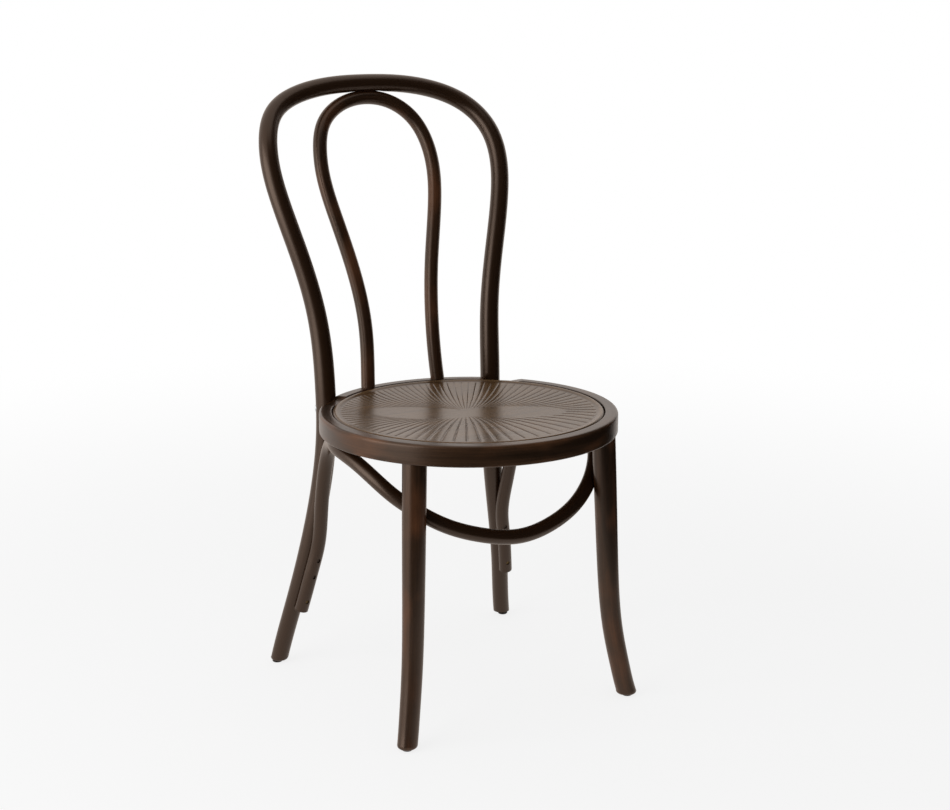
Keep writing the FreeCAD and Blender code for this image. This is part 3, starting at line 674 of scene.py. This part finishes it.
def make_front_leg(name, node, mirror, start):
    points, grain, ahead = tube(front[::-1], front_radius[::-1], FRONT_SIDES)
    points, grain, ahead = trimmed(points, grain, ahead, FOOT_LEVEL, FOOT_ROUND)
    keep = (points[..., 2] < RING_BOTTOM).any(axis=1)
    points, grain = points[keep], grain[keep]
    points[..., 2] = np.minimum(points[..., 2], RING_BOTTOM)
    faces = tube_faces(*points.shape[:2])
    if mirror:
        points = flip_x(points)
        faces = [face[::-1] for face in faces]
    return piece(name, points, faces, grain, start, node)


# The brace

def bevelled(points, leg):
    """The brace's ends slant up from the leg, so that they fade into it."""
    for ring in (points[0], points[-1]):
        centre = ring.mean(axis=0)
        away = centre - np.array(at_height(leg, centre[2])) * [np.sign(centre[0]), 1, 1]
        away[2] = 0
        away /= np.linalg.norm(away)
        ring[:, 2] += BRACE_BEVEL * (1 + (ring - centre) @ away / BRACE_RADIUS) / 2


def rounded_end(ring, grain, inward):
    """The rings that round off the edge of an end, from its face inwards."""
    centre = ring.mean(axis=0)
    size = np.linalg.norm(ring - centre, axis=1)[:, None]
    rings = []
    for turn in np.radians(BRACE_ARRIS_TURNS):
        drawn = centre + (ring - centre) * (1 - BRACE_ARRIS * (1 - math.sin(turn)) / size)
        rings.append(drawn + inward * BRACE_ARRIS * (1 - math.cos(turn)))
    return np.array(rings), np.repeat(grain[None], len(rings), axis=0)


def brace_wells():
    """The well above each sunk screw in the brace."""
    places = []
    for rise in BRACE_SCREW_RISES:
        height = BRACE_END + rise
        here = nearest_on(brace, brace_on_rear_leg(height))
        inward = at_height(bow, height) - here
        places.append((here, Vector((inward.x, inward.y, 0)).normalized()))
    here = brace_on_front_leg()
    outward = at_height(front, here.z) - here
    places.append((here, Vector((outward.x, outward.y, 0)).normalized()))
    places.append((brace_crown(), Vector((0, 0, 1))))
    return with_mirror([(here - inward * BRACE_RADIUS, inward, SCREW_HEAD_RADIUS, SCREW_RECESS)
                        for here, inward in places])


def make_brace():
    points, grain, ahead = tube(brace, np.full(len(brace), BRACE_RADIUS), BRACE_SIDES)
    housed(points, bow, bow_radius, GLUE_LINE)
    housed(points, front, front_radius, GLUE_LINE)
    housed(points, flip_x(front), front_radius, GLUE_LINE)
    points[..., 2] = np.minimum(points[..., 2], RING_BOTTOM)
    bevelled(points, bow)
    first, first_grain = rounded_end(points[0], grain[0], ahead[0])
    last, last_grain = rounded_end(points[-1], grain[-1], -ahead[-1])
    points = np.concatenate([first, points[1:-1], last[::-1]])
    grain = np.concatenate([first_grain, grain[1:-1], last_grain[::-1]])
    thing = piece("brace", points, tube_faces(*points.shape[:2]), grain, 6, "leg_brace")
    drilled(thing, brace_wells())
    return thing


# The seat ring

def ring_profile():
    """The section from the rebate's inner edge over the rim and round to the underside."""
    outer = SEAT_RADIUS
    inner = SEAT_RADIUS - RIM_WIDTH
    hole = SEAT_RADIUS - RING_WIDTH
    low = RING_BOTTOM + RING_ARRIS
    high = SEAT_TOP - RIM_ROUND
    points = [(hole, low), (hole, PANEL_BED), (inner, PANEL_BED), (inner, PANEL_BED + REBATE_STEP)]
    for turn in quarter(4):
        points.append((inner + RIM_LIP * (1 - math.cos(turn)), SEAT_TOP - RIM_LIP * (1 - math.sin(turn))))
    for share in RIM_SHARES:
        points.append((inner + RIM_LIP + (RIM_WIDTH - RIM_ROUND - RIM_LIP) * share, SEAT_TOP))
    for turn in quarter(8):
        points.append((outer - RIM_ROUND * (1 - math.sin(turn)), high + RIM_ROUND * math.cos(turn)))
    for share in WALL_SHARES:
        points.append((outer, high - (high - low) * share))
    for turn in quarter(4):
        points.append((outer - RING_ARRIS * (1 - math.cos(turn)), low - RING_ARRIS * math.sin(turn)))
    for turn in quarter(4):
        points.append((hole + RING_ARRIS * (1 - math.sin(turn)), low - RING_ARRIS * math.cos(turn)))
    return np.array(points[:-1])


def relief_level(points):
    """How high the rim may be beside the rear legs: a level scoop towards the front, with ramped ends."""
    level = np.full(points.shape[:-1], 1.0)
    frontward = np.array([joint_out[1], -joint_out[0], 0])
    for mirror in ([1, 1, 1], [-1, 1, 1]):
        across = points @ (frontward * mirror)
        front_end = (across - RELIEF_FRONT) / RELIEF_RAMP
        back_end = (-across - RELIEF_BACK) / RELIEF_BACK_RAMP
        rise = np.clip(np.maximum(front_end, back_end), 0, RELIEF_OVERRUN)
        here = SEAT_TOP - RELIEF_DEPTH * (1 - rise)
        level = np.where(points @ (joint_out * mirror) > 0, np.minimum(level, here), level)
    return level


def ring_shade_and_highlight(radius, height):
    """Painted shade in the lip beside the panel, a painted highlight along the rim's outer edge, and a
    lighter line along the underside's outer edge.
    """
    inset, rise = radius - SEAT_RADIUS, height - SEAT_TOP
    lighter_edges = np.exp(-((inset + RIM_HIGHLIGHT_INSET) ** 2 + (rise + RIM_HIGHLIGHT_INSET) ** 2) / LIGHT_EDGE_WIDTH ** 2)
    lighter_edges += UNDERSIDE_LIGHT_EDGE * np.exp(-(inset ** 2 + (height - RING_BOTTOM) ** 2) / LIGHT_EDGE_WIDTH ** 2)
    lip = np.exp(-((inset + RIM_WIDTH) / LIP_SHADE_WIDTH) ** 2) * (rise < -LIP_SHADE_TOP)
    return lip - lighter_edges


def make_ring():
    profile = ring_profile()
    shape = (RING_TURNS, len(profile))
    angle = np.linspace(0, 2 * math.pi, RING_TURNS, endpoint=False)[:, None]
    radius, height = profile[:, 0], profile[:, 1]
    points = np.stack([
        np.sin(angle) * radius,
        np.cos(angle) * radius,
        np.broadcast_to(height, shape)], axis=2)
    grain = np.stack([
        np.broadcast_to(angle * SEAT_RADIUS, shape),
        np.broadcast_to(radius - SEAT_RADIUS, shape),
        np.broadcast_to(height - RING_BOTTOM, shape)], axis=2)
    for outward in (joint_out, flip_x(joint_out)):
        reach = points @ outward
        over = reach > flat_radius
        points[over] -= (reach[over] - flat_radius)[:, None] * outward
    top = points[..., 2] > SEAT_TOP - RELIEF_DEPTH - RELIEF_MARGIN
    points[..., 2] = np.where(top, np.minimum(points[..., 2], relief_level(points)), points[..., 2])
    # The ring's painted shade in the lip, and its painted highlight along the outer edge
    stain_and_shade = np.broadcast_to(ring_shade_and_highlight(radius, height), shape)
    faces = grid_faces(*shape, closed=True)
    return piece("seat_hoop", points, faces, grain, 9, "seat_ring", stain_and_shade)


# The seat panel, as rings of plan places, heights and painted shade from its middle over its edge to below

def dish_height(radius, rim_radius, bottom, rim):
    ball = (rim_radius ** 2 + (rim - bottom) ** 2) / (2 * (rim - bottom))
    return bottom + ball - np.sqrt(ball ** 2 - radius ** 2)


def top_height(flat):
    radius = np.minimum(np.linalg.norm(flat, axis=1), BEAD_FOOT)
    return dish_height(radius, BEAD_FOOT, SEAT_TOP - DISH_DEPTH, SEAT_TOP - BEAD_FALL)


def ray_columns():
    """The end angle of every column of points, closest together at the grooves."""
    phase = (np.arange(RAYS)[:, None] + RAY_STATIONS).ravel()
    angle = np.linspace(-0.1, 2 * math.pi + 0.1, 4000)
    count = RAYS * angle / (2 * math.pi) - RAY_CROWDING * np.sin(angle - RAY_WIDE_SIDE)
    base = RAY_CROWDING * math.sin(RAY_WIDE_SIDE)
    return np.interp(phase + base, count, angle), np.tile(RAY_STATIONS, RAYS)


def groove(across):
    """The depth of a groove by the share of the way from one ray to the next."""
    apart = np.minimum(across, 1 - across)
    cut = np.exp(-(apart / GROOVE_HALF_WIDTH) ** 2)
    pillow = PILLOW_HEIGHT * (1 - np.cos(2 * math.pi * across)) / 2
    return cut - pillow


def pattern_turned(flat):
    cos, sin = math.cos(PATTERN_TURN), math.sin(PATTERN_TURN)
    return flat @ np.array([[cos, sin], [-sin, cos]])


def lobes(end):
    """Where each ray starts, round the smooth figure in the middle."""
    start = end - RAY_TURN - RAY_SWAY * np.cos(2 * (end - RAY_SWAY_SIDE))
    near_end = np.abs(np.cos(start))
    along = LOBE_LONG * np.sign(np.cos(start)) * near_end ** LOBE_DRAW
    across = (WAIST_HALF_WIDTH + LOBE_HALF_WIDTH * near_end) * np.sin(start)
    return np.stack([along, across], axis=1)


def middle_rings(end):
    lobe = lobes(end)
    rings = []
    for share in np.linspace(0.04, 0.96, LOBE_STEPS):
        flat = pattern_turned(lobe * share + LOBE_SHIFT)
        rings.append((flat, top_height(flat), 0.0))
    return rings


def ray_rings(end, across):
    lobe = lobes(end)
    rim = np.stack([BEAD_FOOT * np.cos(end), BEAD_FOOT * np.sin(end)], axis=1)
    late = RAY_LATE * np.cos(end - RAY_LATE_SIDE) ** 2
    rings = []
    for share in np.linspace(0, 1, RAY_STEPS):
        flat = pattern_turned(lobe + LOBE_SHIFT + (rim - lobe - LOBE_SHIFT) * share ** RAY_BEND)
        spacing = np.linalg.norm(np.roll(flat, -len(RAY_STATIONS), axis=0) - flat, axis=1)
        depth = RAY_DEPTH * np.minimum(spacing / RAY_FULL_SPACING, 1)
        depth = depth * eased((share - late) / RAY_FADE) * eased((1 - share) / RAY_END_FADE)
        # Painted shade in the grooves, darkest where they are deepest, and painted shade at the bead's
        # foot where the rays end
        stain_and_shade = GROOVE_PAINTED_SHADE * np.maximum(groove(across), 0) * depth / RAY_DEPTH
        stain_and_shade += BEAD_FOOT_PAINTED_SHADE * eased((share - (1 - BEAD_FOOT_SHADE_WIDTH)) / BEAD_FOOT_SHADE_WIDTH)
        rings.append((flat, top_height(flat) - groove(across) * depth, stain_and_shade))
    return rings


def bead_rings(outline):
    crest = PANEL_EDGE - BEAD_WIDTH * BEAD_CREST
    rings = []
    for share in BEAD_SHARES:
        height = SEAT_TOP - BEAD_FALL + BEAD_FALL * eased(share) ** BEAD_POWER
        # Painted shade at the bead's foot that turns to a painted highlight on its crest
        stain_and_shade = BEAD_FOOT_PAINTED_SHADE + (BEAD_CREST_PAINTED_HIGHLIGHT - BEAD_FOOT_PAINTED_SHADE) * eased(share)
        rings.append((outline * (BEAD_FOOT + (crest - BEAD_FOOT) * share), height, stain_and_shade))
    for share in BEAD_SHARES:
        height = SEAT_TOP - PANEL_EDGE_FALL * share ** PANEL_EDGE_POWER
        # From the painted highlight on the crest to painted shade at the panel's edge
        stain_and_shade = BEAD_CREST_PAINTED_HIGHLIGHT + (PANEL_EDGE_PAINTED_SHADE - BEAD_CREST_PAINTED_HIGHLIGHT) * eased(share)
        rings.append((outline * (crest + (PANEL_EDGE - crest) * share), height, stain_and_shade))
    return rings


def underside_rings(outline):
    lip = PANEL_EDGE - (RING_WIDTH - RIM_WIDTH)
    rings = [(outline * PANEL_EDGE, PANEL_BED, 0.0)]
    for share in np.linspace(1, 0.02, 10):
        height = dish_height(lip * share, lip, SEAT_TOP - DISH_DEPTH - PANEL_THICKNESS, PANEL_BED)
        rings.append((outline * (lip * share), height, 0.0))
    return rings


def make_panel():
    end, across = ray_columns()
    angle = end + PATTERN_TURN
    outline = np.stack([np.cos(angle), np.sin(angle)], axis=1)
    rings = middle_rings(end) + ray_rings(end, across) + bead_rings(outline) + underside_rings(outline)
    columns = len(end)
    points = np.stack([np.column_stack([flat, np.broadcast_to(height, columns)])
                       for flat, height, stain_and_shade in rings])
    # The painted shade and highlight of each ring, for the panel's material
    painted_shades = np.stack([np.broadcast_to(stain_and_shade, columns) for flat, height, stain_and_shade in rings])
    quads = [(a, d, c, b) for a, b, c, d in grid_faces(len(rings), columns)]
    first = tuple(range(columns))
    last = tuple(range((len(rings) - 1) * columns, len(rings) * columns))[::-1]
    faces = quads + [first, last]
    return piece("embossed_panel", points, faces, points, 0, "seat_panel", painted_shades)


# Material nodes

def material(name):
    made = bpy.data.materials.new(name)
    made.use_nodes = True
    nodes = made.node_tree.nodes
    return made, nodes, made.node_tree.links, nodes["Principled BSDF"]


def set_inputs(node, values):
    for key, value in values.items():
        node.inputs[key].default_value = value


def scaled(nodes, links, source, scale, offset=(0, 0, 0)):
    made = nodes.new("ShaderNodeMapping")
    set_inputs(made, {"Scale": scale, "Location": offset})
    links.new(source, made.inputs["Vector"])
    return made.outputs["Vector"]


def noise(nodes, links, vector, detail, roughness, distortion=0.0):
    made = nodes.new("ShaderNodeTexNoise")
    set_inputs(made, {"Scale": 1, "Detail": detail, "Roughness": roughness, "Distortion": distortion})
    links.new(vector, made.inputs["Vector"])
    return made.outputs["Fac"]


def ramp(nodes, links, source, stops):
    made = nodes.new("ShaderNodeValToRGB")
    elements = made.color_ramp.elements
    for k, (position, colour) in enumerate(stops):
        element = elements[k] if k < 2 else elements.new(position)
        element.position = position
        element.color = (*colour, 1)
    links.new(source, made.inputs["Fac"])
    return made.outputs["Color"]


def mixed(nodes, links, kind, fac, first, second):
    made = nodes.new("ShaderNodeMix")
    made.data_type = "RGBA"
    made.blend_type = kind
    made.clamp_result = True
    if isinstance(fac, float):
        made.inputs["Factor"].default_value = fac
    else:
        links.new(fac, made.inputs["Factor"])
    links.new(first, made.inputs[6])
    links.new(second, made.inputs[7])
    return made.outputs[2]


def math_node(nodes, links, operation, first, second, third=0.5):
    made = nodes.new("ShaderNodeMath")
    made.operation = operation
    for k, value in enumerate((first, second, third)):
        if isinstance(value, (int, float)):
            made.inputs[k].default_value = value
        else:
            links.new(value, made.inputs[k])
    return made.outputs[0]


def ranged(nodes, links, source, low, high):
    """A source of 0 to 1 brought to the range from low to high."""
    made = nodes.new("ShaderNodeMapRange")
    set_inputs(made, {"To Min": low, "To Max": high})
    links.new(source, made.inputs["Value"])
    return made.outputs["Result"]


def bumped(nodes, links, shader, source, strength, distance):
    made = nodes.new("ShaderNodeBump")
    set_inputs(made, {"Strength": strength, "Distance": distance})
    links.new(source, made.inputs["Height"])
    links.new(made.outputs["Normal"], shader.inputs["Normal"])


def rgb(nodes, colour):
    made = nodes.new("ShaderNodeRGB")
    made.outputs[0].default_value = (*colour, 1)
    return made.outputs[0]


def attribute(nodes, name):
    made = nodes.new("ShaderNodeAttribute")
    made.attribute_name = name
    return made.outputs


def speckled(nodes, links, shader, scale, detail, stops, colour, shade):
    """A colour that a fine noise darkens in places. It gives back the noise."""
    place = nodes.new("ShaderNodeTexCoord").outputs["Object"]
    speck = noise(nodes, links, scaled(nodes, links, place, scale), detail, 0.6)
    dark = tuple(part * shade for part in colour)
    tone = ramp(nodes, links, speck, [(stops[0], dark), (stops[1], colour)])
    links.new(tone, shader.inputs["Base Color"])
    return speck


def any_ray(nodes, links, *kinds):
    """1 for the kinds of rays that are named, and 0 for all others."""
    path = nodes.new("ShaderNodeLightPath").outputs
    seen = path[kinds[0]]
    for kind in kinds[1:]:
        seen = math_node(nodes, links, "MAXIMUM", seen, path[kind])
    return seen


# Materials

def wood(name, dark, middle, warm, roughness, specular, relief, lacquer):
    """Dark stained beech under satin lacquer: fibres along the bend, cloudy staining and small pores, with
    the painted shade and painted highlights that the mesh carries.
    """
    made, nodes, links, shader = material(name)
    place = attribute(nodes, "grain")["Vector"]
    fibre = noise(nodes, links, scaled(nodes, links, place, FIBRE_SCALE), 5, 0.6, 0.3)
    broad = noise(nodes, links, scaled(nodes, links, place, BROAD_SCALE, BROAD_SHIFT), 3, 0.5, 0.6)
    cloud = noise(nodes, links, scaled(nodes, links, place, CLOUD_SCALE, CLOUD_SHIFT), 2, 0.45)
    pores = noise(nodes, links, scaled(nodes, links, place, PORE_SCALE), 1, 0.5)
    stain_and_shade = ramp(nodes, links, broad, [(0.32, dark), (0.62, middle)])
    patches = ramp(nodes, links, cloud, [(0.5, (0, 0, 0)), (0.72, (1, 1, 1))])
    colour = mixed(nodes, links, "MIX", patches, stain_and_shade, rgb(nodes, warm))
    streaks = ramp(nodes, links, fibre, [(0.3, (0.62, 0.6, 0.58)), (0.7, (1.12, 1.1, 1.08))])
    colour = mixed(nodes, links, "MULTIPLY", 1.0, colour, streaks)
    specks = ramp(nodes, links, pores, [(0.34, (0.72, 0.7, 0.68)), (0.42, (1, 1, 1))])
    colour = mixed(nodes, links, "MULTIPLY", 0.6, colour, specks)
    # Painted shade and highlight: the mesh's painted shade darkens the colour, a painted highlight
    # lightens it
    painted_shade_level = math_node(nodes, links, "MULTIPLY_ADD", attribute(nodes, "stain_and_shade")["Fac"], 0.5)
    tone = ramp(nodes, links, painted_shade_level, [
        (0.0, (1, 1, 1)), (0.5, (0.6, 0.6, 0.6)), (0.8, (0.36, 0.3, 0.25)), (1.0, (0.2, 0.16, 0.12))])
    colour = mixed(nodes, links, "MULTIPLY", 1.0, colour, tone)
    links.new(colour, shader.inputs["Base Color"])
    rough = ranged(nodes, links, fibre, roughness - 0.05, roughness + 0.07)
    links.new(rough, shader.inputs["Roughness"])
    bumped(nodes, links, shader, fibre, relief, 0.4 * MM)
    set_inputs(shader, {
        "Specular IOR Level": specular, "Specular Tint": (1, 0.8, 0.68, 1), "Coat Weight": lacquer,
        "Coat Roughness": roughness, "Coat IOR": 1.05, "Coat Tint": (1, 0.89, 0.79, 1)})
    return made


def metal(name, colour, roughness):
    made, nodes, links, shader = material(name)
    wear = speckled(nodes, links, shader, METAL_SCALE, 3, (0.3, 0.7), colour, 0.72)
    rough = ranged(nodes, links, wear, roughness - 0.08, roughness + 0.12)
    links.new(rough, shader.inputs["Roughness"])
    set_inputs(shader, {"Metallic": 1})
    return made


def plastic(name, colour):
    made, nodes, links, shader = material(name)
    speck = speckled(nodes, links, shader, PLASTIC_SCALE, 4, (0.35, 0.65), colour, 0.8)
    bumped(nodes, links, shader, speck, 0.2, 0.2 * MM)
    set_inputs(shader, {"Roughness": 0.6, "Specular IOR Level": 0.2})
    return made


def paint(thing, made):
    thing.data.materials.clear()
    thing.data.materials.append(made)


bentwood = wood("stained_bentwood", dark=(0.023, 0.01, 0.0035), middle=(0.06, 0.0275, 0.0125),
                warm=(0.14, 0.053, 0.02), roughness=0.31, specular=0.58, relief=0.12, lacquer=0.5)
hoop_wood = wood("stained_bentwood_hoop", dark=(0.025, 0.012, 0.0045), middle=(0.062, 0.03, 0.014),
                 warm=(0.14, 0.056, 0.022), roughness=0.31, specular=0.5, relief=0.1, lacquer=0.3)
panel_wood = wood("pressed_panel", dark=(0.13, 0.078, 0.036), middle=(0.2, 0.122, 0.058),
                  warm=(0.23, 0.136, 0.06), roughness=0.28, specular=0.36, relief=0.03, lacquer=0.3)
brass = metal("brass_screw", (0.2, 0.13, 0.06), 0.5)
steel = metal("zinc_steel", (0.56, 0.57, 0.58), 0.34)
glide_plastic = plastic("glide_plastic", (0.022, 0.014, 0.009))

for thing in (make_bow(), make_loop(), make_front_leg("leg_left", "front_leg_left", True, 12),
              make_front_leg("leg_right", "front_leg_right", False, 15), make_brace()):
    paint(thing, bentwood)
paint(make_ring(), hoop_wood)
paint(make_panel(), panel_wood)
for node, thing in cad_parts.items():
    if node.endswith("_screws"):
        paint(thing, brass)
    elif node.startswith("back_bow_") or node == "glide_nails":
        paint(thing, steel)
    elif node.startswith("glide_"):
        paint(thing, glide_plastic)


# Studio

def studio_object(name, data):
    thing = bpy.data.objects.new(name, data)
    bpy.context.scene.collection.objects.link(thing)
    return thing


def make_floor():
    """A pale floor that fades to plain white round the chair, and keeps its shadow."""
    half = FLOOR_HALF
    mesh = bpy.data.meshes.new("floor")
    mesh.from_pydata([(-half, -half, 0), (half, -half, 0), (half, half, 0), (-half, half, 0)], [],
                     [(0, 1, 2, 3)])
    floor = studio_object("floor", mesh)
    made, nodes, links, shader = material("floor")
    set_inputs(shader, {"Base Color": (FLOOR_GREY, FLOOR_GREY, FLOOR_GREY, 1), "Roughness": 0.9,
                        "Specular IOR Level": 0.1})
    glow = nodes.new("ShaderNodeEmission")
    set_inputs(glow, {"Strength": 1})
    far = nodes.new("ShaderNodeVectorMath")
    far.operation = "LENGTH"
    links.new(nodes.new("ShaderNodeTexCoord").outputs["Object"], far.inputs[0])
    fade = nodes.new("ShaderNodeMapRange")
    fade.interpolation_type = "SMOOTHSTEP"
    set_inputs(fade, {"From Min": GLOW_NEAR, "From Max": GLOW_FAR, "To Min": GLOW_AT_CHAIR, "To Max": 1.0})
    links.new(far.outputs["Value"], fade.inputs["Value"])
    seen = any_ray(nodes, links, "Is Camera Ray", "Is Glossy Ray")
    share = math_node(nodes, links, "MULTIPLY", fade.outputs["Result"], seen)
    mix = nodes.new("ShaderNodeMixShader")
    links.new(share, mix.inputs["Fac"])
    links.new(shader.outputs["BSDF"], mix.inputs[1])
    links.new(glow.outputs["Emission"], mix.inputs[2])
    links.new(mix.outputs["Shader"], nodes["Material Output"].inputs["Surface"])
    mesh.materials.append(made)


def make_world():
    """Soft light from all round, which is plain white where it is seen."""
    world = bpy.data.worlds.new("studio")
    bpy.context.scene.world = world
    world.use_nodes = True
    nodes, links = world.node_tree.nodes, world.node_tree.links
    seen = any_ray(nodes, links, "Is Camera Ray", "Is Glossy Ray", "Is Transmission Ray")
    strength = ranged(nodes, links, seen, WORLD_LIGHT, 1.0)
    links.new(strength, nodes["Background"].inputs["Strength"])
    set_inputs(nodes["Background"], {"Color": (1, 1, 1, 1)})


def make_camera():
    camera = bpy.data.cameras.new("camera")
    camera.sensor_width = SENSOR
    camera.lens = SENSOR * FOCAL_PIXELS / PHOTO_WIDTH
    camera.clip_end = 100
    holder = studio_object("camera", camera)
    holder.location = CAMERA
    holder.rotation_euler = (CAMERA_PITCH, 0, CAMERA_YAW)
    bpy.context.scene.camera = holder


def make_softbox():
    light = bpy.data.lights.new("softbox", "AREA")
    light.shape = "RECTANGLE"
    light.size, light.size_y = SOFTBOX_SIZE
    light.energy = SOFTBOX_POWER
    lamp = studio_object("softbox", light)
    lamp.location = SOFTBOX_PLACE
    lamp.rotation_euler = (SOFTBOX_TARGET - SOFTBOX_PLACE).to_track_quat("-Z", "Y").to_euler()


def make_screen():
    """A dark curved screen in front of the chair and to its right, which only the gloss reflects."""
    first, last = SCREEN_TURNS
    turns = np.linspace(first, last, SCREEN_STEPS) + math.atan2(CAMERA.y, CAMERA.x)
    low = np.stack([SCREEN_RADIUS * np.cos(turns), SCREEN_RADIUS * np.sin(turns), 0 * turns], axis=1)
    points = np.concatenate([low, low + [0, 0, SCREEN_HEIGHT]])
    faces = [(k, k + 1, SCREEN_STEPS + k + 1, SCREEN_STEPS + k) for k in range(SCREEN_STEPS - 1)]
    mesh = bpy.data.meshes.new("screen")
    mesh.from_pydata(points.tolist(), [], faces)
    screen = studio_object("screen", mesh)
    made, nodes, links, shader = material("screen")
    set_inputs(shader, {"Base Color": (0.012, 0.011, 0.01, 1), "Roughness": 1, "Specular IOR Level": 0})
    mesh.materials.append(made)
    screen.visible_camera = False
    screen.visible_diffuse = False
    screen.visible_shadow = False
    screen.visible_transmission = False


make_floor()
make_world()
make_camera()
make_softbox()
make_screen()
bpy.context.scene.view_settings.view_transform = "Standard"
